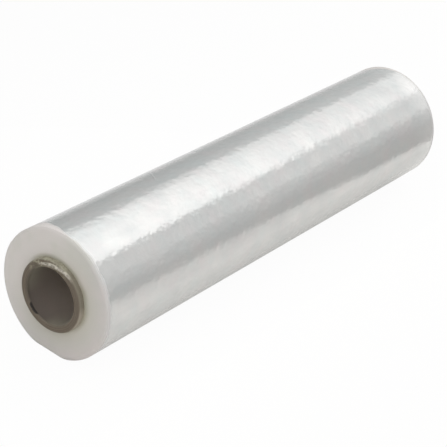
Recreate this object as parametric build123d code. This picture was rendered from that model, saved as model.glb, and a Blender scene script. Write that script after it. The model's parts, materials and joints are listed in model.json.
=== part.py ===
"""A roll of clear shrink film wound tight on a spiral-wound cardboard core.

The roll lies on its side, as it rests on a table, with its axis along X. Z = 0 is the surface that it
lies on, and the origin is midway along the roll. The film is soft, so its own weight has pressed a small
flat along the underside and pushed the flanks out above it. The core is a little longer than the film is
wide, and stands out at both ends.
"""

from build123d import *
from math import atan2, cos, degrees, radians, sin
import os

# Driving dimensions, in millimetres and degrees

FILM_WIDTH = 500.0        # width of the film web, along the roll
ROLL_DIAMETER = 115.0     # across the wound film, away from the flat
END_ROUND_WIDTH = 3.6     # how far in from the outside the wound end starts to round over
END_ROUND_DEPTH = 1.35    # how far back the outermost turns sit from the end

CORE_BORE = 50.8          # inside of the cardboard tube
CORE_WALL = 6.8
CORE_STANDOUT = 5.5       # how far the core reaches past the film at each end
CORE_MOUTH_CHAMFER = 1.0  # broken inner edge of each cut end
CORE_RIM_RADIUS = 2.5     # worn outer edge of each cut end

FLAT_WIDTH = 24.0         # flat along the underside
FLAT_DEPTH = 1.3          # how far the weight has pressed the underside in
FLANK_BULGE = 1.5         # how much larger the radius of the lower flanks is

TAIL_ANGLE = 24.0         # where the free end of the film lies, up the back from the level of the axis
TAIL_STEP = 0.3           # height of the free end, several times the film's own thickness

TURN_PITCH = 3.0          # spacing of the bands of turns that show on the wound ends
TURN_RELIEF = 0.35        # how far each band runs back from the end
TURN_MARGIN = 1.4         # plain film between the core and the first band

CUT_PAST = 1.0            # how far a cutting solid reaches past the face that it cuts

# Sizes worked out from them

roll_radius = ROLL_DIAMETER / 2
bore_radius = CORE_BORE / 2
core_radius = bore_radius + CORE_WALL
core_length = FILM_WIDTH + 2 * CORE_STANDOUT
axis_height = roll_radius - FLAT_DEPTH
first_turn_radius = core_radius + TURN_MARGIN
turn_count = int((axis_height - END_ROUND_WIDTH - first_turn_radius) / TURN_PITCH)


def on_circle(centre, radius, angle):
    """Point of the section (y, z) at an angle in degrees, counted from +Y towards +Z."""
    return (
        centre[0] + radius * cos(radians(angle)),
        centre[1] + radius * sin(radians(angle)),
    )


def roll_axis(rise=0.0):
    """The line along X that the roll is wound about, or one that lies above it."""
    return Axis((0, 0, axis_height + rise), (1, 0, 0))


def section():
    """Cross-section of the wound film, looking along -X: Y to the right and Z up."""
    centre = (0.0, axis_height)
    top = (0.0, axis_height + roll_radius)
    half_flat = FLAT_WIDTH / 2
    flank_radius = roll_radius + FLANK_BULGE

    # The shoulder arc touches the flat at its end, and the flank from inside.
    reach = half_flat + FLANK_BULGE
    shoulder_radius = (flank_radius**2 - axis_height**2 - reach**2) / (2 * (flank_radius - axis_height))
    shoulder_angle = degrees(atan2(axis_height - shoulder_radius, reach))

    # The turn under the free end starts one step lower, and comes up to the full radius at the top.
    under_start = on_circle(centre, roll_radius - TAIL_STEP, TAIL_ANGLE)
    drop = top[1] - under_start[1]
    under_radius = (under_start[0] ** 2 + drop**2) / (2 * drop)
    under_centre = (0.0, top[1] - under_radius)
    under_angle = degrees(atan2(under_start[1] - under_centre[1], under_start[0]))

    with BuildSketch() as sketch:
        with BuildLine():
            CenterArc(under_centre, under_radius, under_angle, 90 - under_angle)
            CenterArc(centre, roll_radius, 90, 90)
            CenterArc((FLANK_BULGE, axis_height), flank_radius, 180, shoulder_angle)
            front_shoulder = CenterArc(
                (-half_flat, shoulder_radius), shoulder_radius, 180 + shoulder_angle, 90 - shoulder_angle
            )
            back_shoulder = CenterArc((half_flat, shoulder_radius), shoulder_radius, 270, 90 - shoulder_angle)
            CenterArc((-FLANK_BULGE, axis_height), flank_radius, -shoulder_angle, shoulder_angle)
            Line(front_shoulder @ 1, back_shoulder @ 0)
            tail = CenterArc(centre, roll_radius, 0, TAIL_ANGLE)
            Line(tail @ 1, under_start)
        make_face()
    return Plane.YZ * sketch.sketch


def barrel():
    """Solid of revolution that gives the wound film its seat on the core and its rounded ends."""
    half_width = FILM_WIDTH / 2
    round_start = roll_radius - END_ROUND_WIDTH
    round_radius = (END_ROUND_WIDTH**2 + END_ROUND_DEPTH**2) / (2 * END_ROUND_DEPTH)
    outside = roll_radius + FLANK_BULGE + CUT_PAST
    with BuildSketch(Plane.XZ) as sketch:
        with BuildLine():
            Line((-half_width, core_radius), (half_width, core_radius))
            Line((half_width, core_radius), (half_width, round_start))
            far_round = CenterArc((half_width - round_radius, round_start), round_radius, 0, 90)
            Line(far_round @ 1, (half_width - round_radius, outside))
            Line((half_width - round_radius, outside), (round_radius - half_width, outside))
            near_round = CenterArc((round_radius - half_width, round_start), round_radius, 90, 90)
            Line((round_radius - half_width, outside), near_round @ 0)
            Line(near_round @ 1, (-half_width, core_radius))
        make_face()
    return revolve(Pos(0, 0, axis_height) * sketch.sketch, roll_axis())


def turn_cut(inner_radius, rise, start, end_side):
    """Half a turn of the sloping cut that makes one band of turns, about a line `rise` above the axis.

    A band slopes back from the end by TURN_RELIEF over its width. `start` is 90 for the half on the front
    of the roll and 270 for the half on its back, and `end_side` is 1 or -1 for the end of the roll.
    """
    outer_radius = inner_radius + TURN_PITCH
    face_x = FILM_WIDTH / 2
    corners = [
        (end_side * face_x, inner_radius),
        (end_side * (face_x + CUT_PAST), inner_radius),
        (end_side * (face_x + CUT_PAST), outer_radius),
        (end_side * (face_x - TURN_RELIEF), outer_radius),
    ]
    with BuildSketch(Plane.XZ) as sketch:
        with BuildLine():
            Polyline(*corners, close=True)
        make_face()
    slope = Pos(0, 0, axis_height + rise) * sketch.sketch
    slope = slope.rotate(roll_axis(rise), start - 90)
    return revolve(slope, roll_axis(rise), revolution_arc=180)


def film_roll():
    """The wound film, as one solid, with the bands of its turns spiralling outwards on both ends."""
    body = extrude(section(), FILM_WIDTH / 2, both=True) & barrel()
    cuts = []
    for end_side in (-1, 1):
        for turn in range(turn_count):
            inner_radius = first_turn_radius + turn * TURN_PITCH
            cuts.append(turn_cut(inner_radius, 0.0, 90, end_side))
            cuts.append(turn_cut(inner_radius + TURN_PITCH / 2, TURN_PITCH / 2, 270, end_side))
    return body - cuts


def core():
    """The cardboard tube that the film is wound on, cut square at both ends."""
    tube = Cylinder(core_radius, core_length, rotation=(0, 90, 0))
    tube -= Cylinder(bore_radius, core_length + 2 * CUT_PAST, rotation=(0, 90, 0))
    rims = tube.edges().filter_by(GeomType.CIRCLE)
    outer_rims = rims.filter_by(lambda edge: edge.radius > core_radius - CORE_WALL / 2)
    tube = fillet(outer_rims, CORE_RIM_RADIUS)
    rims = tube.edges().filter_by(GeomType.CIRCLE)
    mouths = rims.filter_by(lambda edge: abs(edge.radius - bore_radius) < CORE_WALL / 4)
    tube = chamfer(mouths, CORE_MOUTH_CHAMFER)
    return Pos(0, 0, axis_height) * tube


os.makedirs("parts", exist_ok=True)
for name, piece in {"film_roll": film_roll(), "core": core()}.items():
    piece.label = name
    export_step(piece, f"parts/{name}.step")
    print(name, round(piece.volume), "mm3", piece.bounding_box().size)
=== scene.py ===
"""A roll of clear shrink film on its cardboard core, dressed for a still picture.

The roll lies along X on a pale floor. Both pieces follow a rule, so Geometry Nodes make them: the wound film
from its outline and its turns, and the core from its plies and its spiral seam. Lengths are in metres, and
colours are linear.
"""

import json
import math

import bpy
from mathutils import Matrix, Vector


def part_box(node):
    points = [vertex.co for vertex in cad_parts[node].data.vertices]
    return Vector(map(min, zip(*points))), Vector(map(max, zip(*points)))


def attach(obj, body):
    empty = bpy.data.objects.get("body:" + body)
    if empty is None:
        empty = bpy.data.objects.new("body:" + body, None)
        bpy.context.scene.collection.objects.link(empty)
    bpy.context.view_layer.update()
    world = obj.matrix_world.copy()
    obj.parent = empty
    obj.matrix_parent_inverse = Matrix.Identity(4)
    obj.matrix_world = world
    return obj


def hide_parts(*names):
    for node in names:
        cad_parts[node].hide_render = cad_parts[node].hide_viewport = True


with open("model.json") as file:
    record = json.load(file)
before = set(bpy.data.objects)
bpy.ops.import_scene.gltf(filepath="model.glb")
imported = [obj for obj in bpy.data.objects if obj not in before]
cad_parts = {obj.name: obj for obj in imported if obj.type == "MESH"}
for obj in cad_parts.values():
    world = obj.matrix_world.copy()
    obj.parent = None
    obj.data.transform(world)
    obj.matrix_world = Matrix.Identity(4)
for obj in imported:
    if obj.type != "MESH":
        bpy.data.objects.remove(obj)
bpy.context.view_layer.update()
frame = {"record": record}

# Sizes of the roll, from the frame

_, film_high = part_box("film_roll")
core_low, core_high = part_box("core")
mounts = {mount["name"]: mount for mount in frame["record"]["mounts"]}

FILM_HALF = film_high.x                   # half of the film's width
ROLL_RADIUS = film_high.y
AXIS_HEIGHT = (core_low.z + core_high.z) / 2
CORE_HALF = core_high.x                   # half of the core's length
CORE_RADIUS = core_high.y
BORE_RADIUS = mounts["core_bore"]["dims"]["r_mm"] / 1000

# Sizes of the wound film's own form

FLAT_HALF = 0.012                         # half of the flat that the roll lies on
FLANK_BULGE = 0.0015                      # how much larger the radius of the lower flanks is
TAIL_ANGLE = math.radians(24)             # where the film's free end lies, up the back
TAIL_STEP = 0.0003
TAIL_WANDER = 0.02                        # how far the cut of the free end strays, in radians
END_ROUND_WIDTH = 0.0036                  # how far in from the outside the wound end starts to round over
END_ROUND_DEPTH = 0.00135                 # how far back the outermost turns sit from the end
SLACK = 0.00022                           # how far in the side dips where the turns lie slack
TURNS = 14.0                              # how many uneven turns an end shows
TURN_RELIEF = 0.00018

# Sizes of the core's own form

CORE_RIM_ROUND = 0.0025
CORE_MOUTH_CHAMFER = 0.001
CORE_HIDDEN = 0.004                       # how far into the film the core's outside is still closely meshed
SEAM_PITCH = 0.135
SEAM_DEPTH = 0.0003
PLY_RELIEF = 0.00022

# Patterns of the relief: a rate is how fast one changes along its line, and a round how fast round the roll

WANDER_RATE = 14.0
BAND_RATE = 46.0
BAND_ROUND = 1.2
BAND_SHARE = 0.65                         # the bands' share of the slack: the rest is ripples
RIPPLE_RATE = 130.0
RIPPLE_ROUND = 4.0
TURN_RATE = 1.7                           # how far the turns' pattern moves on from one turn to the next
TURN_START = 3.1
TURN_FADE = 0.08                          # share of the end, beside the core, in which the turns fade in
TURN_FADE_OUTSIDE = 0.1                   # and in which they fade out, beside the rounded edge
PLY_RATE = 9.0
PLY_ROUND = 7.0
PLY_FADE = 0.12                           # share of the cut, on both sides, in which the plies fade out
SEAM_HALF_WIDTH = 0.012                   # as a share of the pitch
BORE_CROWDING = 1.7                       # the power by which the bore's rows crowd towards the mouths

SHARP_EDGE = math.radians(35)             # edges that bend more than this are shaded sharp
MERGE_DISTANCE = 1e-6

# Reach of the finishes

MILKY_REACH = 0.005                       # how far the ends' milky look reaches along the side
MILKY_REACH_BEHIND = 0.008                # and how much further up the back
MILKY_WANDER = 0.004                      # how far its edge strays
MILKY_BLEND = 0.0015                      # how close to the end the look is wholly milky
FAR_HIGHLIGHT_REACH = 0.045                        # how far the painted highlight reaches from the far end
FAR_HIGHLIGHT_WANDER = 0.02
BAND_RADIUS = 0.016                       # a pattern laid on a thin cylinder is drawn out round the roll
LINE_RATE = 0.06                          # and one that changes slowly along it is drawn out along the roll
RING_RATE = 2600.0                        # rings a metre on the film's ends
RIM_RING_RATE = 2400.0                    # and on the core's rims
CREASE_PLACE = -0.115                     # along the roll
CREASE_SLOPE = 0.043                      # how far along it runs for each radian round the roll
CREASE_HALF_WIDTH = 0.0014
RIM_HIGHLIGHT_DEPTH = 0.0023                       # how far inside the core's outside the painted highlight on the rim lies
RIM_HIGHLIGHT_SLOPE = 0.0028                       # how much further out for each radian round
RIM_HIGHLIGHT_WANDER = 0.0012
RIM_HIGHLIGHT_HALF_WIDTH = 0.0013
RIM_HIGHLIGHT_EXTRA_WIDTH = 0.002                  # how much wider inwards where the painted highlight is widest
RIM_HIGHLIGHT_BLEND = 0.0005
LIP_WIDTH = 0.0018
GAP_WIDTH = 0.0011
GAP_BLEND = 0.0005
SLIT_GAPE = 0.002
SLIT_BLEND = 0.0006
SLIT_REACH = 0.002                        # how far from the core's end
BORE_FADE = 0.045                         # how far into the bore its painted shade turns to painted light

# Where the marks lie round the roll, in degrees from the back over the top

LIP_ANGLE = 5
LIT_ANGLE = 25                            # where painted light falls on the bore
MILKY_ANGLE = 45
CREASE_ANGLE = 70
FRAYED_ANGLE = 75
RIM_HIGHLIGHT_WIDE_ANGLE = 86                     # where the painted highlight on the core's rims is widest
RIM_HIGHLIGHT_ANGLE = 92                          # where the painted highlight on the core's rims is strongest, over the top
SHADED_ANGLE = 125                        # where painted shade darkens the film beside the core most, and the core's colour also shows through
SHADED_WIDE_ANGLE = 168                   # and where that painted shade reaches furthest out
FRONT_LIGHT_ANGLE = 198
ROSY_ANGLE = 222
LIT_LOW_ANGLE = 238                       # where painted light falls on the bore again
SLIT_ANGLE = 308
GAP_ANGLE = 315

# Colours of the film

SILVER = (0.595, 0.605, 0.60, 1.0)
SILVER_CLOUD = (0.69, 0.685, 0.67, 1.0)
SILVER_STREAK = (0.70, 0.70, 0.69, 1.0)
SILVER_BLUE = (0.585, 0.655, 0.65, 1.0)
SILVER_ROSE = (0.70, 0.625, 0.63, 1.0)
SILVER_LINE = (0.52, 0.53, 0.53, 1.0)
SILVER_PAINTED_HIGHLIGHT = (0.83, 0.83, 0.82, 1.0)
MILK_STOPS = [                            # from the core to the outside
    (0.0, (0.57, 0.54, 0.455)), (0.12, (0.58, 0.555, 0.495)), (0.5, (0.59, 0.57, 0.53)),
    (0.9, (0.61, 0.59, 0.57)), (1.0, (0.63, 0.62, 0.615)),
]
MILK_PAINTED_LIGHT = (0.70, 0.66, 0.635, 1.0)
MILK_PAINTED_SHADE = (0.33, 0.31, 0.225, 1.0)
MILK_RING = (0.50, 0.48, 0.43, 1.0)
MILK_GREEN = (0.53, 0.55, 0.47, 1.0)
MILK_PINK = (0.68, 0.61, 0.60, 1.0)
MILK_ROSE = (0.68, 0.60, 0.60, 1.0)
CRUMB = (0.84, 0.81, 0.74, 1.0)

# Colours of the core

PAPER = (0.18, 0.16, 0.12, 1.0)
PAPER_CLOUD = (0.24, 0.215, 0.165, 1.0)
PAPER_FIBRE = (0.34, 0.31, 0.25, 1.0)
PAPER_TORN = (0.40, 0.385, 0.29, 1.0)
PAPER_PAINTED_LIGHT = (0.44, 0.39, 0.32, 1.0)
BORE_MOUTH_PAINTED_SHADE = (0.115, 0.092, 0.082, 1.0)
BORE_DEEP_PAINTED_LIGHT = (0.47, 0.40, 0.35, 1.0)
BORE_PAINTED_LIGHT = (0.34, 0.32, 0.25, 1.0)
CUT_DARK = (0.093, 0.071, 0.051, 1.0)
CUT_PALE = (0.188, 0.153, 0.112, 1.0)
TORN_DARK = (0.09, 0.08, 0.045, 1.0)
TORN_PALE = (0.42, 0.40, 0.29, 1.0)
LIP_PAINTED_SHADE = (0.075, 0.06, 0.045, 1.0)
EDGE_PAINTED_SHADE = (0.03, 0.022, 0.016, 1.0)
RIM_PAINTED_HIGHLIGHT = (0.70, 0.66, 0.57, 1.0)
SLIT_PAINTED_SHADE = (0.015, 0.011, 0.008, 1.0)

# Camera, fitted to the photograph: the frame is square, and the long lens stands over the near end

SENSOR = 36.0
PHOTO_SIDE = 447.0
FOCAL_PIXELS = 1581.2
CAMERA_PLACE = Vector((-1.0687, -0.6687, 0.7751))
CAMERA_RIGHT = Vector((0.60720, -0.77913, 0.15576))
CAMERA_UP = Vector((0.32663, 0.42347, 0.84498))
CLIP_START = 0.05

# Studio

FLOOR_SIDE = 12.0
SHADOW_SHARE = 0.04                       # how much of the floor's white is left to the lamps
SHADOW_SHARE_IN_GLOSS = 0.75              # the same in the film's reflections, which show the contact shadow
WORLD_LIGHT = 0.64
SOFTBOX_PLACE = Vector((0.0, -0.16, 1.35))
SOFTBOX_WIDTH = 1.52
SOFTBOX_LENGTH = 6.0
SOFTBOX_TURN = math.radians(10.8)
SOFTBOX_RADIANCE = 0.95
SOFTBOX_CARD_LIFT = 0.01
WALL_REACH = 6.0                          # half of the length of the cards that stand beside the roll
STRIP_REACH = 4.0                         # half of the length of those that lie on the floor
CARD_LIFT = 0.0005                        # how high a card that lies on the floor is
FRONT_STEP = (-1.60, 1.03)                # where the two front cards meet, across and up
FLAG_HEIGHT = 1.33
FLOOR_CARD_CORNERS = [                    # along and across
    (-0.2, -4.0), (0.19, -0.40), (0.27, -0.16), (0.40, -0.13), (4.0, -0.13), (4.0, -4.0),
]
FLAG_CORNERS = [(1.0, -0.78), (3.0, -0.39), (3.0, -0.165), (1.0, -0.743)]
WHITE = (1.0, 1.0, 1.0, 1.0)
COOL = (0.95, 1.0, 1.0, 1.0)
WARM = (1.0, 0.98, 0.955, 1.0)
FLOOR_PAINT = (0.80, 0.79, 0.76, 1.0)
LENGTHWISE = (1, 0, 0)
UPWARDS = (0, 0, 1)


class Value:
    """A socket of a node tree, on which Python's operators add Math nodes."""

    def __init__(self, tree, socket):
        self.tree = tree
        self.socket = socket

    def math(self, operation, *others):
        return self.tree.math(operation, self, *others)

    def out(self, name):
        """Another output of the same node."""
        return Value(self.tree, self.socket.node.outputs[name])

    def __add__(self, other):
        return self.math("ADD", other)

    __radd__ = __add__

    def __sub__(self, other):
        return self.math("SUBTRACT", other)

    def __rsub__(self, other):
        return self.tree.math("SUBTRACT", other, self)

    def __mul__(self, other):
        return self.math("MULTIPLY", other)

    __rmul__ = __mul__

    def __truediv__(self, other):
        return self.math("DIVIDE", other)

    def __neg__(self):
        return self.math("MULTIPLY", -1.0)

    def __pow__(self, other):
        return self.math("POWER", other)

    def __abs__(self):
        return self.math("ABSOLUTE")

    def __gt__(self, other):
        return self.math("GREATER_THAN", other)

    def __lt__(self, other):
        return self.math("LESS_THAN", other)


class Nodes:
    """A node tree under construction."""

    def __init__(self, tree):
        self.tree = tree

    def add(self, kind, settings=None, inputs=None, output=0):
        """Adds a node: its settings first, then the values or links of its sockets. Gives one output."""
        node = self.tree.nodes.new(kind)
        for name, value in (settings or {}).items():
            if name == "stops":
                self.set_stops(node.color_ramp, value)
            else:
                setattr(node, name, value)
        for name, value in (inputs or {}).items():
            self.put(node.inputs[name], value)
        return Value(self, node.outputs[output]) if len(node.outputs) else node

    def put(self, socket, value):
        """Links a value of the tree to a socket, or sets the socket to a plain value."""
        if isinstance(value, Value):
            self.tree.links.new(value.socket, socket)
        else:
            socket.default_value = value

    def set_stops(self, ramp, stops):
        """Stops of a colour ramp, as (position, colour) pairs in order."""
        while len(ramp.elements) < len(stops):
            ramp.elements.new(1.0)
        for element, (position, colour) in zip(ramp.elements, stops):
            element.position = position
            element.color = (*colour, 1.0)

    def math(self, operation, *values):
        return self.add("ShaderNodeMath", {"operation": operation}, dict(enumerate(values)))

    def ramp(self, value, low, high, start=0.0, end=1.0, smooth=True):
        """The value mapped from low..high to start..end and held there, with soft ends if smooth."""
        settings = {"interpolation_type": "SMOOTHSTEP" if smooth else "LINEAR", "clamp": True}
        inputs = {"Value": value, "From Min": low, "From Max": high, "To Min": start, "To Max": end}
        return self.add("ShaderNodeMapRange", settings, inputs)

    def pick(self, condition, if_true, if_false):
        """One of two values, or a blend where the condition lies between 0 and 1."""
        inputs = {0: condition, 2: if_false, 3: if_true}
        return self.add("ShaderNodeMix", {"data_type": "FLOAT"}, inputs)

    def mix(self, factor, first, second):
        """Two colours mixed."""
        return self.add("ShaderNodeMix", {"data_type": "RGBA"}, {0: factor, 6: first, 7: second}, output=2)

    def laid_over(self, base, colour, where, amount=1.0):
        """A colour laid over another one, by an amount, where a mask is 1."""
        return self.mix(where * amount, base, colour)

    def vector(self, x, y, z):
        return self.add("ShaderNodeCombineXYZ", None, {0: x, 1: y, 2: z})

    def on_cylinder(self, along, angle, radius):
        """The point of a cylinder about X at an angle. A pattern laid on it closes round the roll."""
        return self.vector(along, angle.math("COSINE") * radius, angle.math("SINE") * radius)

    def noise(self, vector, scale, detail=2.0, roughness=0.5):
        """Noise between 0 and 1 at a place."""
        inputs = {"Vector": vector, "Scale": scale, "Detail": detail, "Roughness": roughness}
        return self.add("ShaderNodeTexNoise", {"noise_dimensions": "3D"}, inputs)

    def noise_along(self, place, detail=2.0):
        """Noise between 0 and 1 along a line."""
        inputs = {"W": place, "Scale": 1.0, "Detail": detail}
        return self.add("ShaderNodeTexNoise", {"noise_dimensions": "1D"}, inputs)


# Geometry trees


def shape_tree(name, sizes):
    """An empty geometry tree with one named input for each size. Gives the nodes and the inputs."""
    tree = bpy.data.node_groups.new(name, "GeometryNodeTree")
    for size, value in sizes.items():
        kind = "NodeSocketInt" if isinstance(value, int) else "NodeSocketFloat"
        socket = tree.interface.new_socket(size, in_out="INPUT", socket_type=kind)
        socket.default_value = value
    tree.interface.new_socket("Geometry", in_out="OUTPUT", socket_type="NodeSocketGeometry")
    nodes = Nodes(tree)
    group = nodes.add("NodeGroupInput")
    return nodes, {size: group.out(size) for size in sizes}


def grid_place(nodes, columns, rows):
    """A grid of vertices, with the column and the row of each, counted from 0."""
    inputs = {"Size X": 1.0, "Size Y": 1.0, "Vertices X": columns, "Vertices Y": rows}
    grid = nodes.add("GeometryNodeMeshGrid", None, inputs)
    place = nodes.add("ShaderNodeSeparateXYZ", None, {0: nodes.add("GeometryNodeInputPosition")})
    column = (place + 0.5) * (columns - 1.0)
    row = (place.out("Y") + 0.5) * (rows - 1.0)
    return grid, column.math("ROUND"), row.math("ROUND")


def finish_shape(nodes, grid, position, material):
    """Ends a tree: the grid moved to its shape, its seams merged, its sharp edges kept, in its material."""
    moved = nodes.add("GeometryNodeSetPosition", None, {"Geometry": grid, "Position": position})
    inputs = {"Geometry": moved, "Distance": MERGE_DISTANCE}
    merged = nodes.add("GeometryNodeMergeByDistance", None, inputs)
    smooth_edge = nodes.add("GeometryNodeInputMeshEdgeAngle") < SHARP_EDGE
    faces = nodes.add("GeometryNodeSetShadeSmooth", {"domain": "FACE"}, {"Geometry": merged})
    inputs = {"Geometry": faces, "Shade Smooth": smooth_edge}
    skin = nodes.add("GeometryNodeSetShadeSmooth", {"domain": "EDGE"}, inputs)
    real = nodes.add("GeometryNodeRealizeInstances", None, {"Geometry": skin})
    dressed = nodes.add("GeometryNodeSetMaterial", None, {"Geometry": real, "Material": material})
    nodes.add("NodeGroupOutput", None, {"Geometry": dressed})


def made_by(tree_nodes, name, nodes_replaced):
    """Makes the finished piece of a geometry tree, as a plain mesh that stands for its CAD nodes."""
    carrier = bpy.data.objects.new(name + "_maker", bpy.data.meshes.new(name + "_maker"))
    bpy.context.scene.collection.objects.link(carrier)
    carrier.modifiers.new("Shape", "NODES").node_group = tree_nodes.tree
    graph = bpy.context.evaluated_depsgraph_get()
    mesh = bpy.data.meshes.new_from_object(carrier.evaluated_get(graph), depsgraph=graph)
    mesh.name = name
    bpy.data.objects.remove(carrier)
    piece = bpy.data.objects.new(name, mesh)
    bpy.context.scene.collection.objects.link(piece)
    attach(piece, "root")
    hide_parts(*nodes_replaced)


def shoulder_sizes():
    """Radius of the shoulder beside the flat, and the angles from straight down where it starts and ends."""
    flank_radius = ROLL_RADIUS + FLANK_BULGE
    reach = FLAT_HALF + FLANK_BULGE
    radius = (flank_radius**2 - AXIS_HEIGHT**2 - reach**2) / (2 * (flank_radius - AXIS_HEIGHT))
    starts = math.atan2(FLAT_HALF, AXIS_HEIGHT)
    slope = math.atan2(AXIS_HEIGHT - radius, reach)
    across = flank_radius * math.cos(slope) - FLANK_BULGE
    down = flank_radius * math.sin(slope)
    return radius, starts, math.atan2(across, down)


def end_round_sizes():
    """Radius of the arc that rounds the wound ends over, and the angle that it turns through."""
    radius = (END_ROUND_WIDTH**2 + END_ROUND_DEPTH**2) / (2 * END_ROUND_DEPTH)
    return radius, math.asin(END_ROUND_WIDTH / radius)


def outline_radius(nodes, sizes, angle):
    """Distance of the wound film's outside from the axis, at an angle from +Y towards +Z."""
    across = abs(angle.math("COSINE"))
    rise = angle.math("SINE")
    down = nodes.math("ARCTAN2", across, -rise)
    bulge = sizes["Flank bulge"]
    flank_radius = sizes["Roll radius"] + bulge
    flank = (flank_radius**2.0 - (bulge * rise) ** 2.0).math("SQRT") - bulge * across
    half = sizes["Flat half width"]
    drop = sizes["Shoulder radius"] - sizes["Axis height"]
    along = half * across + drop * rise
    shoulder_room = sizes["Shoulder radius"] ** 2.0 - half**2.0 - drop**2.0
    shoulder = along + (shoulder_room + along * along).math("SQRT")
    flat = sizes["Axis height"] / (-rise).math("MAXIMUM", 0.01)
    low = nodes.pick(down < sizes["Shoulder ends at"], shoulder, flank)
    low = nodes.pick(down < sizes["Shoulder starts at"], flat, low)
    return nodes.pick(rise < 0.0, low, sizes["Roll radius"])


def film_tree(material):
    """The wound film. Columns run round the roll from its free end, and rows along its skin and ends."""
    shoulder_radius, shoulder_starts, shoulder_ends = shoulder_sizes()
    end_round_radius, end_round_angle = end_round_sizes()
    nodes, sizes = shape_tree("Wound film", {
        "Film half width": FILM_HALF, "Core radius": CORE_RADIUS, "Roll radius": ROLL_RADIUS,
        "Axis height": AXIS_HEIGHT, "Flat half width": FLAT_HALF, "Flank bulge": FLANK_BULGE,
        "Shoulder radius": shoulder_radius, "Shoulder starts at": shoulder_starts,
        "Shoulder ends at": shoulder_ends, "Tail angle": TAIL_ANGLE, "Tail step": TAIL_STEP,
        "Tail wander": TAIL_WANDER, "End round width": END_ROUND_WIDTH, "End round depth": END_ROUND_DEPTH,
        "End round radius": end_round_radius, "End round angle": end_round_angle,
        "Turns": TURNS, "Turn relief": TURN_RELIEF, "Slack": SLACK,
        "Columns": 320, "Side rows": 88, "Round rows": 10, "End rows": 34,
    })
    half_rows = sizes["Side rows"] + sizes["Round rows"] + sizes["End rows"]
    grid, column, row = grid_place(nodes, sizes["Columns"] + 1.0, half_rows * 2.0 + 2.0)

    # Round the roll: the last column closes the step under the free end.
    turn = column / (sizes["Columns"] - 1.0)
    closing = turn > 1.0
    turn = turn.math("MINIMUM", 1.0)
    top_turn = (math.pi / 2 - sizes["Tail angle"]) / math.tau
    under = (1.0 - nodes.ramp(turn, 0.0, top_turn)).math("MAXIMUM", closing)

    # From the middle of the side outwards to an end and in to the core: the last row closes the seat.
    row = row * (row < half_rows * 2.0 + 0.5)
    centred = row - half_rows
    end_side = centred.math("SIGN")
    outwards = abs(centred)
    round_starts = sizes["Side rows"]
    end_starts = round_starts + sizes["Round rows"]
    corner = nodes.ramp(outwards, round_starts, end_starts, sizes["End round angle"], 0.0, smooth=False)
    fill = nodes.ramp(outwards, end_starts, half_rows, 1.0, 0.0, smooth=False)
    straight = sizes["Film half width"] - sizes["End round depth"]
    along = nodes.ramp(outwards, 0.0, round_starts, 0.0, straight, smooth=False)
    along = along + sizes["End round depth"] - sizes["End round radius"] * (1.0 - corner.math("COSINE"))

    # The free end is cut by hand, so it wanders a little.
    wander = (nodes.noise_along(along * end_side * WANDER_RATE) - 0.5) * sizes["Tail wander"]
    angle = turn * math.tau + sizes["Tail angle"] + wander
    outside = outline_radius(nodes, sizes, angle) - sizes["Tail step"] * under

    # Slack between the outer turns: soft bands round the roll, crossed by small ripples.
    place = along * end_side
    bands = nodes.noise(nodes.on_cylinder(place * BAND_RATE, angle, BAND_ROUND), scale=1.0)
    ripples = nodes.noise(nodes.on_cylinder(place * RIPPLE_RATE, angle, RIPPLE_ROUND), scale=1.0)
    outside = outside - sizes["Slack"] * (bands * BAND_SHARE + ripples * (1.0 - BAND_SHARE))

    # The turns on the ends: each lies a little in or out, and the spiral runs through them. They fade out
    # beside the core and beside the rounded edge.
    wound = fill * sizes["Turns"] - turn
    turn_count = wound.math("FLOOR")
    share = nodes.ramp(wound - turn_count, 0.0, 1.0)
    length = turn_count + turn
    inner = nodes.noise_along(length * TURN_RATE + TURN_START, detail=1.0)
    outer = nodes.noise_along((length + 1.0) * TURN_RATE + TURN_START, detail=1.0)
    relief = inner + (outer - inner) * share
    window = nodes.ramp(fill, 0.0, TURN_FADE) * nodes.ramp(fill, 1.0, 1.0 - TURN_FADE_OUTSIDE)
    along = along - sizes["Turn relief"] * relief * window

    edge = outside - sizes["End round width"] + sizes["End round radius"] * corner.math("SINE")
    radius = sizes["Core radius"] + (edge - sizes["Core radius"]) * fill
    across = radius * angle.math("COSINE")
    height = radius * angle.math("SINE") + sizes["Axis height"]
    finish_shape(nodes, grid, nodes.vector(along * end_side, across, height), material)
    return nodes


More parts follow.
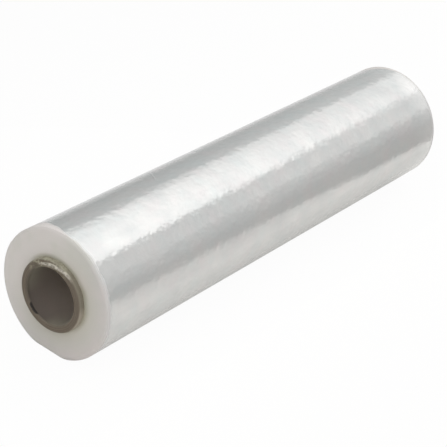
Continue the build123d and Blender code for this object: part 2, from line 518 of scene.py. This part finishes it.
def core_tree(material):
    """The cardboard tube. Columns run round it, and rows along its skin."""
    nodes, sizes = shape_tree("Cardboard core", {
        "Core half length": CORE_HALF, "Core radius": CORE_RADIUS, "Bore radius": BORE_RADIUS,
        "Axis height": AXIS_HEIGHT, "Rim rounding": CORE_RIM_ROUND, "Mouth chamfer": CORE_MOUTH_CHAMFER,
        "Film half width": FILM_HALF, "Hidden": CORE_HIDDEN,
        "Seam pitch": SEAM_PITCH, "Seam depth": SEAM_DEPTH, "Ply relief": PLY_RELIEF,
        "Columns": 192, "Stand-out rows": 10, "Round rows": 7, "Rim rows": 14, "Bore rows": 66,
    })
    round_starts = sizes["Stand-out rows"] + 1.0
    rim_starts = sizes["Stand-out rows"] + sizes["Round rows"] + 1.0
    mouth_starts = rim_starts + sizes["Rim rows"]
    bore_starts = mouth_starts + 1.0
    half_rows = bore_starts + sizes["Bore rows"]
    grid, column, row = grid_place(nodes, sizes["Columns"] + 1.0, half_rows * 2.0 + 1.0)

    # Rows count from the middle of the outside, over the far rim, through the bore and over the near rim.
    end_side = nodes.math("SIGN", half_rows - row - 0.5)
    outwards = nodes.pick(row > half_rows, half_rows * 2.0 - row, row)
    angle = column / sizes["Columns"] * math.tau

    wall_starts = sizes["Film half width"] - sizes["Hidden"]
    wall_ends = sizes["Core half length"] - sizes["Rim rounding"]
    wall_step = nodes.ramp(outwards, 1.0, round_starts, smooth=False)
    wall = (outwards > 0.5) * wall_starts + wall_step * (wall_ends - wall_starts)
    corner = nodes.ramp(outwards, round_starts, rim_starts, 0.0, math.pi / 2, smooth=False)
    across = nodes.ramp(outwards, rim_starts, mouth_starts, smooth=False)
    mouth = nodes.ramp(outwards, mouth_starts, bore_starts, smooth=False)
    into = nodes.ramp(outwards, bore_starts, half_rows, smooth=False) ** BORE_CROWDING

    rim_width = sizes["Core radius"] - sizes["Bore radius"] - sizes["Rim rounding"] - sizes["Mouth chamfer"]
    radius = sizes["Core radius"] - sizes["Rim rounding"] * (1.0 - corner.math("COSINE"))
    radius = radius - rim_width * across - sizes["Mouth chamfer"] * mouth
    along = wall + sizes["Rim rounding"] * corner.math("SINE") - sizes["Mouth chamfer"] * mouth
    along = along - into * (sizes["Core half length"] - sizes["Mouth chamfer"])

    # The plies stand in and out of the cut, and their butted edges leave a groove that winds along the bore.
    cut = nodes.noise(nodes.on_cylinder(across * PLY_RATE, angle, PLY_ROUND), scale=1.0, detail=3.0)
    window = nodes.ramp(across, 0.0, PLY_FADE) * nodes.ramp(across, 1.0, 1.0 - PLY_FADE)
    along = along - sizes["Ply relief"] * cut * window
    turns = along * end_side / sizes["Seam pitch"] - angle / math.tau
    seam = 1.0 - nodes.ramp(abs(turns.math("FRACT") - 0.5), 0.0, SEAM_HALF_WIDTH)
    on_bore = into > 0.0001
    radius = radius + sizes["Seam depth"] * seam * on_bore

    height = radius * angle.math("SINE") + sizes["Axis height"]
    place = nodes.vector(along * end_side, radius * angle.math("COSINE"), height)
    finish_shape(nodes, grid, place, material)
    return nodes


# Finishes


def new_material(name):
    """A material without a shader yet, and the nodes to go on with."""
    material = bpy.data.materials.new(name)
    material.use_nodes = True
    material.node_tree.nodes.clear()
    return material, Nodes(material.node_tree)


def finish_material(nodes, inputs):
    """Ends a material in one Principled shader."""
    shader = nodes.add("ShaderNodeBsdfPrincipled", None, inputs)
    nodes.add("ShaderNodeOutputMaterial", None, {"Surface": shader})


def place_on_roll(nodes):
    """A point of a piece: its place, how far along it is, and its radius and angle about the roll's axis."""
    place = nodes.add("ShaderNodeTexCoord", output="Object")
    along = nodes.add("ShaderNodeSeparateXYZ", None, {0: place})
    across = along.out("Y")
    height = along.out("Z") - AXIS_HEIGHT
    radius = (across * across + height * height).math("SQRT")
    return place, along, radius, nodes.math("ARCTAN2", height, across)


def towards(nodes, angle, degrees_round, low, high):
    """How much an angle round the roll points one way, from 0 to 1: its cosine between low and high."""
    return nodes.ramp(nodes.math("COSINE", angle - math.radians(degrees_round)), low, high)


def silver_side(nodes, around, along, angle):
    """The film's side: its colour, bump height, metallic and roughness."""
    # Bands round the roll, fine streaks along the film's run, and clouds where air lies between the turns
    drawn_round = nodes.on_cylinder(along, angle, BAND_RADIUS)
    bands = nodes.noise(drawn_round, scale=70.0)
    streaks = nodes.noise(drawn_round, scale=420.0, detail=3.0, roughness=0.6)
    clouds = nodes.ramp(nodes.noise(around, scale=34.0, detail=4.0, roughness=0.6), 0.3, 0.7)
    colour = nodes.mix(clouds, SILVER, SILVER_CLOUD)
    colour = nodes.laid_over(colour, SILVER_STREAK, streaks, amount=0.3)
    tint = nodes.noise(around, scale=52.0, detail=3.0, roughness=0.6)
    colour = nodes.laid_over(colour, SILVER_BLUE, nodes.ramp(tint, 0.5, 0.68), amount=0.25)
    colour = nodes.laid_over(colour, SILVER_ROSE, nodes.ramp(tint, 0.5, 0.32), amount=0.25)

    # Faint darker lines along the roll, and a painted highlight that makes the far end paler
    lines = nodes.noise(nodes.on_cylinder(along * LINE_RATE, angle, ROLL_RADIUS), scale=230.0)
    colour = nodes.laid_over(colour, SILVER_LINE, nodes.ramp(lines, 0.5, 0.72), amount=0.12)
    far_painted_highlight = nodes.ramp(along + (clouds - 0.5) * FAR_HIGHLIGHT_WANDER, FILM_HALF - FAR_HIGHLIGHT_REACH, FILM_HALF)
    colour = nodes.laid_over(colour, SILVER_PAINTED_HIGHLIGHT, far_painted_highlight, amount=0.55)

    ripple = nodes.noise(around, scale=160.0)
    crease = along - CREASE_PLACE + (angle - math.radians(CREASE_ANGLE)) * CREASE_SLOPE
    crease = nodes.ramp(abs(crease), CREASE_HALF_WIDTH, 0.0)
    crease = crease * towards(nodes, angle, CREASE_ANGLE, 0.985, 0.995)
    height = bands * 0.3 + ripple * 0.7 + streaks * 0.05 + crease * 0.35
    return colour, height, 0.46 + 0.08 * clouds, 0.15 + 0.06 * streaks


def milky_end(nodes, place, radius, angle):
    """The wound ends: their colour, with painted light and shade, and the fine rings of their turns."""
    # Olive near the core, which shows through, and paler outwards; painted light on the upper back
    outwards = nodes.ramp(radius, CORE_RADIUS, ROLL_RADIUS, smooth=False)
    colour = nodes.add("ShaderNodeValToRGB", {"stops": MILK_STOPS}, {"Fac": outwards})
    painted_light_side = radius * (angle.math("COSINE") * 0.75 + angle.math("SINE") * 0.6)
    colour = nodes.laid_over(colour, MILK_PAINTED_LIGHT, nodes.ramp(painted_light_side, -0.012, 0.042), amount=0.9)
    # Painted shade on the film beside the core, over the top and front, where the core's colour also shows
    # through
    shaded_reach = 0.18 + 0.09 * towards(nodes, angle, SHADED_WIDE_ANGLE, 0.75, 1.0)
    shaded = towards(nodes, angle, SHADED_ANGLE, -0.35, 0.5) * nodes.ramp(outwards, shaded_reach, 0.0)
    colour = nodes.laid_over(colour, MILK_PAINTED_SHADE, shaded, amount=0.8)

    # The turns as fine rings, and soft tinges across them
    rings = nodes.noise_along(radius * RING_RATE + nodes.noise(place, scale=20.0) * 4.0, detail=3.0)
    colour = nodes.laid_over(colour, MILK_RING, nodes.ramp(rings, 0.35, 0.75), amount=0.25)
    tinge = nodes.noise(place, scale=34.0)
    colour = nodes.laid_over(colour, MILK_GREEN, nodes.ramp(tinge, 0.5, 0.7), amount=0.3)
    colour = nodes.laid_over(colour, MILK_PINK, nodes.ramp(tinge, 0.5, 0.3), amount=0.3)
    rosy = towards(nodes, angle, ROSY_ANGLE, 0.75, 1.0) * nodes.ramp(outwards, 0.35, 0.95)
    colour = nodes.laid_over(colour, MILK_ROSE, rosy, amount=0.5)

    # Pale crumbs of paper beside the core, by the slit
    crumbs = nodes.ramp(nodes.noise(place, scale=620.0, detail=1.0), 0.5, 0.62)
    crumbs = crumbs * towards(nodes, angle, SLIT_ANGLE, 0.9, 0.97) * nodes.ramp(outwards, 0.10, 0.05)
    return nodes.laid_over(colour, CRUMB, crumbs), rings


def film_finish():
    """Clear film, many turns deep: silver on the side, and milky where the edges of the turns show."""
    material, nodes = new_material("Clear film")
    place, along, radius, angle = place_on_roll(nodes)
    around = nodes.on_cylinder(along, angle, ROLL_RADIUS)
    silver, side_height, metallic, roughness = silver_side(nodes, around, along, angle)
    milk, rings = milky_end(nodes, place, radius, angle)

    # The milky look seeps a little way along the side, and further up the back.
    wander = (nodes.noise(around, scale=90.0) - 0.5) * MILKY_WANDER
    reach = MILKY_REACH_BEHIND * towards(nodes, angle, MILKY_ANGLE, 0.7, 1.0)
    on_end = nodes.ramp(abs(along) + wander + reach, FILM_HALF - MILKY_REACH, FILM_HALF - MILKY_BLEND)
    bump = nodes.add("ShaderNodeBump", None, {
        "Strength": 0.6, "Distance": 0.001, "Height": nodes.pick(on_end, rings * 0.05, side_height),
    })
    finish_material(nodes, {
        "Base Color": nodes.mix(on_end, silver, milk),
        "Metallic": nodes.pick(on_end, 0.0, metallic),
        "Roughness": nodes.pick(on_end, 0.55, roughness),
        "Coat Weight": nodes.pick(on_end, 0.05, 0.25),
        "Coat Roughness": 0.12,
        "IOR": 1.49,
        "Normal": bump,
    })
    return material


def cardboard_finish():
    """Grey-brown cardboard: paper clouds and fibres, painted shade and light in the bore, pale torn plies and
    a painted highlight on the rims.
    """
    material, nodes = new_material("Core cardboard")
    place, along, radius, angle = place_on_roll(nodes)
    normal = nodes.add("ShaderNodeNewGeometry", output="Normal")
    facing = abs(nodes.add("ShaderNodeSeparateXYZ", None, {0: normal}))
    on_rim = nodes.ramp(facing, 0.4, 0.9)
    from_end = CORE_HALF - abs(along)
    fibres = nodes.noise(place, scale=900.0, detail=4.0, roughness=0.65)
    clouds = nodes.noise(place, scale=60.0, detail=3.0, roughness=0.6)
    paper = nodes.mix(clouds, PAPER, PAPER_CLOUD)
    paper = nodes.laid_over(paper, PAPER_FIBRE, nodes.ramp(fibres, 0.45, 0.8), amount=0.5)

    # The bore is painted dark at its mouth and paler deeper in, painted shade and light that even out its
    # lighting, and painted lighter at two places where light falls on it.
    in_bore = nodes.ramp(radius, BORE_RADIUS + CORE_MOUTH_CHAMFER, BORE_RADIUS)
    inwards = nodes.ramp(from_end, 0.0, BORE_FADE, smooth=False)
    inside = nodes.mix(inwards, BORE_MOUTH_PAINTED_SHADE, BORE_DEEP_PAINTED_LIGHT)
    painted_bore_light = towards(nodes, angle, LIT_ANGLE, 0.6, 1.0) * 0.7
    painted_bore_light = painted_bore_light + towards(nodes, angle, LIT_LOW_ANGLE, 0.7, 1.0) * 0.6
    inside = nodes.laid_over(inside, BORE_PAINTED_LIGHT, painted_bore_light * nodes.ramp(inwards, 0.65, 0.05))
    paper = nodes.mix(in_bore * 0.85, paper, inside)

    # The plies show on the cut rims.
    plies = nodes.noise_along(radius * RIM_RING_RATE + nodes.noise(place, scale=40.0) * 2.0, detail=3.0)
    cut = nodes.mix(nodes.ramp(plies, 0.3, 0.7), CUT_DARK, CUT_PALE)

    # Torn paper over the top of the tube, where it is handled and knocked most
    torn = nodes.noise(place, scale=330.0, detail=3.0, roughness=0.65)
    frayed = towards(nodes, angle, FRAYED_ANGLE, 0.62, 0.96)
    paper = nodes.laid_over(paper, PAPER_TORN, frayed * nodes.ramp(torn, 0.4, 0.65, 0.25, 1.0))
    cut = nodes.laid_over(cut, TORN_DARK, frayed * nodes.ramp(torn, 0.5, 0.38), amount=0.6)
    cut = nodes.laid_over(cut, TORN_PALE, frayed * nodes.ramp(torn, 0.5, 0.64), amount=0.75)

    # Painted shade on the lip of the mouth, at the back
    lip_shade = nodes.ramp(radius, BORE_RADIUS + LIP_WIDTH, BORE_RADIUS + LIP_WIDTH / 2)
    lip_shade = lip_shade * nodes.ramp(inwards, 0.12, 0.02) * towards(nodes, angle, LIP_ANGLE, 0.6, 0.95)
    cut = nodes.laid_over(cut, LIP_PAINTED_SHADE, lip_shade, amount=0.5)
    paper = nodes.laid_over(paper, LIP_PAINTED_SHADE, lip_shade, amount=0.5)

    # Painted light on the paper down the front, and a broken line of painted shade at the outer edge of the
    # rim, low at the back
    paper = nodes.laid_over(paper, PAPER_PAINTED_LIGHT, towards(nodes, angle, FRONT_LIGHT_ANGLE, 0.86, 1.0), amount=0.8)
    # A broken line of painted shade at the outer edge of the rim
    edge_shade = nodes.ramp(radius, CORE_RADIUS - GAP_WIDTH, CORE_RADIUS - GAP_BLEND)
    edge_shade = edge_shade * nodes.ramp(torn, 0.4, 0.55) * towards(nodes, angle, GAP_ANGLE, 0.3, 0.8)
    cut = nodes.laid_over(cut, EDGE_PAINTED_SHADE, edge_shade, amount=0.8)

    # A painted highlight on the rounded outer edge of the rim, over the top, speckled and less rough.
    highlight_offset = (angle - math.radians(RIM_HIGHLIGHT_ANGLE)) * RIM_HIGHLIGHT_SLOPE
    highlight_offset = highlight_offset + (nodes.noise(place, scale=160.0) - 0.5) * RIM_HIGHLIGHT_WANDER
    highlight_offset = radius - (highlight_offset + (CORE_RADIUS - RIM_HIGHLIGHT_DEPTH))
    inner_width = RIM_HIGHLIGHT_HALF_WIDTH + RIM_HIGHLIGHT_EXTRA_WIDTH * towards(nodes, angle, RIM_HIGHLIGHT_WIDE_ANGLE, 0.88, 1.0)
    edge = nodes.ramp(highlight_offset, RIM_HIGHLIGHT_HALF_WIDTH, RIM_HIGHLIGHT_BLEND) * nodes.ramp(highlight_offset, -inner_width, -RIM_HIGHLIGHT_BLEND)
    edge = edge * nodes.ramp(facing, 0.1, 0.4)
    speckle = nodes.ramp(nodes.noise(place, scale=700.0, roughness=0.6), 0.35, 0.6, 0.35, 1.0)
    speckle = speckle * nodes.ramp(torn, 0.36, 0.5, 0.4, 1.0)
    painted_rim_highlight = edge * speckle * towards(nodes, angle, RIM_HIGHLIGHT_ANGLE, 0.74, 1.0)
    cut = nodes.laid_over(cut, RIM_PAINTED_HIGHLIGHT, painted_rim_highlight)
    paper = nodes.laid_over(paper, RIM_PAINTED_HIGHLIGHT, painted_rim_highlight)

    # A ply has lifted from the mouth, low at the back, and the slit that it leaves is painted near black, as
    # painted shade.
    gape = towards(nodes, angle, SLIT_ANGLE, 0.965, 0.995) * SLIT_GAPE * (0.5 + torn)
    slit_shade = nodes.ramp(radius - BORE_RADIUS, gape, gape - SLIT_BLEND) * (gape > SLIT_GAPE / 10)
    slit_shade = slit_shade * nodes.ramp(from_end, SLIT_REACH, SLIT_REACH / 2)
    cut = nodes.laid_over(cut, SLIT_PAINTED_SHADE, slit_shade)
    paper = nodes.laid_over(paper, SLIT_PAINTED_SHADE, slit_shade)

    bump = nodes.add("ShaderNodeBump", None, {
        "Strength": 0.5, "Distance": 0.0004,
        "Height": nodes.pick(on_rim, plies * 0.6 + fibres * 0.4, fibres),
    })
    finish_material(nodes, {
        "Base Color": nodes.mix(on_rim, paper, cut),
        "Roughness": 0.62 + 0.2 * fibres - 0.2 * painted_rim_highlight,
        "Normal": bump,
    })
    return material


# Camera and studio


def make_camera():
    """The photograph's camera."""
    data = bpy.data.cameras.new("Camera")
    data.lens = FOCAL_PIXELS * SENSOR / PHOTO_SIDE
    data.sensor_width = SENSOR
    data.clip_start = CLIP_START
    camera = bpy.data.objects.new("Camera", data)
    bpy.context.scene.collection.objects.link(camera)
    right = CAMERA_RIGHT.normalized()
    up = (CAMERA_UP - right * CAMERA_UP.dot(right)).normalized()
    turn = Matrix((right, up, right.cross(up))).transposed()
    camera.matrix_world = Matrix.Translation(CAMERA_PLACE) @ turn.to_4x4()
    bpy.context.scene.camera = camera


def background_rays(nodes):
    """1 where a ray sees the plain white background: from the camera, in gloss and through clear things."""
    path = nodes.add("ShaderNodeLightPath")
    seen = path.math("MAXIMUM", path.out("Is Glossy Ray"))
    return seen.math("MAXIMUM", path.out("Is Transmission Ray"))


def flat_object(name, corners, material):
    """One flat face of the studio, in its material."""
    mesh = bpy.data.meshes.new(name)
    mesh.from_pydata(corners, [], [tuple(range(len(corners)))])
    mesh.materials.append(material)
    face = bpy.data.objects.new(name, mesh)
    bpy.context.scene.collection.objects.link(face)
    return face


def strip(half_length, first, second):
    """Corners of a rectangle along the roll, between two lines given by their places across and up."""
    return [
        (-half_length, *first), (half_length, *first), (half_length, *second), (-half_length, *second),
    ]


def make_floor():
    """A white floor that keeps a faint shadow."""
    material, nodes = new_material("White floor")
    white = nodes.add("ShaderNodeEmission", None, {"Color": WHITE, "Strength": 1.0})
    paint = nodes.add("ShaderNodeBsdfDiffuse", None, {"Color": FLOOR_PAINT})
    in_gloss = nodes.add("ShaderNodeLightPath", output="Is Glossy Ray")
    shadow_share = nodes.pick(in_gloss, SHADOW_SHARE_IN_GLOSS, SHADOW_SHARE)
    share = background_rays(nodes) * (1.0 - shadow_share)
    mixed = nodes.add("ShaderNodeMixShader", None, {0: share, 1: paint, 2: white})
    nodes.add("ShaderNodeOutputMaterial", None, {"Surface": mixed})
    half = FLOOR_SIDE / 2
    flat_object("Floor", strip(half, (-half, 0), (half, 0)), material)


def make_world():
    """White to the camera and in gloss, and soft light for the rest."""
    world = bpy.data.worlds.new("Studio")
    bpy.context.scene.world = world
    world.use_nodes = True
    world.node_tree.nodes.clear()
    nodes = Nodes(world.node_tree)
    strength = nodes.pick(background_rays(nodes), 1.0, WORLD_LIGHT)
    light = nodes.add("ShaderNodeBackground", None, {"Color": WHITE, "Strength": strength})
    nodes.add("ShaderNodeOutputWorld", None, {"Surface": light})


def make_card(name, corners, greys, fades_over, direction, tint=WHITE):
    """A shining card that the camera doesn't see. Its grey changes along a direction, between two places."""
    material, nodes = new_material(name)
    place = nodes.add("ShaderNodeTexCoord", output="Object")
    along = nodes.add("ShaderNodeVectorMath", {"operation": "DOT_PRODUCT"}, {0: place, 1: direction}, "Value")
    grey = nodes.ramp(along, *fades_over, *greys, smooth=False)
    shine = nodes.add("ShaderNodeEmission", None, {"Color": tint, "Strength": grey})
    nodes.add("ShaderNodeOutputMaterial", None, {"Surface": shine})
    card = flat_object(name, corners, material)
    card.visible_camera = False
    card.visible_shadow = False


def make_softbox():
    """One long softbox overhead, turned about the vertical, and a card on its back that adds a fade to it."""
    data = bpy.data.lights.new("Overhead_softbox", "AREA")
    data.shape = "RECTANGLE"
    data.size = SOFTBOX_LENGTH
    data.size_y = SOFTBOX_WIDTH
    data.energy = SOFTBOX_RADIANCE * math.pi * SOFTBOX_WIDTH * SOFTBOX_LENGTH
    lamp = bpy.data.objects.new("Overhead_softbox", data)
    bpy.context.scene.collection.objects.link(lamp)
    turn = Matrix.Rotation(SOFTBOX_TURN, 4, "Z")
    lamp.matrix_world = Matrix.Translation(SOFTBOX_PLACE) @ turn
    half = SOFTBOX_WIDTH / 2
    back = strip(SOFTBOX_LENGTH / 2, (-half, SOFTBOX_CARD_LIFT), (half, SOFTBOX_CARD_LIFT))
    make_card(
        "Overhead_card", [SOFTBOX_PLACE + turn @ Vector(corner) for corner in back],
        greys=(0.78, 0.12), fades_over=(0.23, 0.9), direction=(0.35, 0.4, 0),
    )


def make_cards():
    """The cards that make the bands on the film: beside the roll, under the softbox and on the floor."""
    make_card(
        "Front_low_card", strip(WALL_REACH, (-2.4, -0.05), FRONT_STEP),
        greys=(0.335, 0.65), fades_over=(0.05, 1.03), direction=UPWARDS,
    )
    make_card(
        "Front_high_card", strip(WALL_REACH, FRONT_STEP, (-1.0, 1.85)),
        greys=(0.61, 0.96), fades_over=(-0.95, 0.9), direction=(1, 0, -1.5),
    )
    make_card(
        "Back_card", strip(WALL_REACH, (2.4, -0.05), (1.5, 1.75)),
        greys=(0.24, 0.485), fades_over=(1.6, 3.6), direction=(1, 0, 0.6), tint=COOL,
    )
    make_card(
        "Softbox_flag", [(*corner, FLAG_HEIGHT) for corner in FLAG_CORNERS],
        greys=(0.86, 0.86), fades_over=(0.0, 1.0), direction=LENGTHWISE,
    )
    make_card(
        "Back_floor_shade", strip(STRIP_REACH, (0.15, CARD_LIFT), (4.0, CARD_LIFT)),
        greys=(0.88, 0.56), fades_over=(0.2, 0.5), direction=(0, 1, 0),
    )
    make_card(
        "Floor_shade", strip(STRIP_REACH, (-4.0, CARD_LIFT / 2), (-0.1, CARD_LIFT / 2)),
        greys=(1.05, 0.66), fades_over=(0.05, 0.40), direction=(0, -1, 0), tint=WARM,
    )
    make_card(
        "Floor_card", [(*corner, CARD_LIFT) for corner in FLOOR_CARD_CORNERS],
        greys=(0.41, 0.41), fades_over=(0.0, 1.0), direction=LENGTHWISE, tint=WARM,
    )


bpy.context.scene.view_settings.view_transform = "Standard"
make_camera()
made_by(film_tree(film_finish()), "wound_film", ["film_roll"])
made_by(core_tree(cardboard_finish()), "cardboard_core", ["core"])
make_floor()
make_world()
make_softbox()
make_cards()
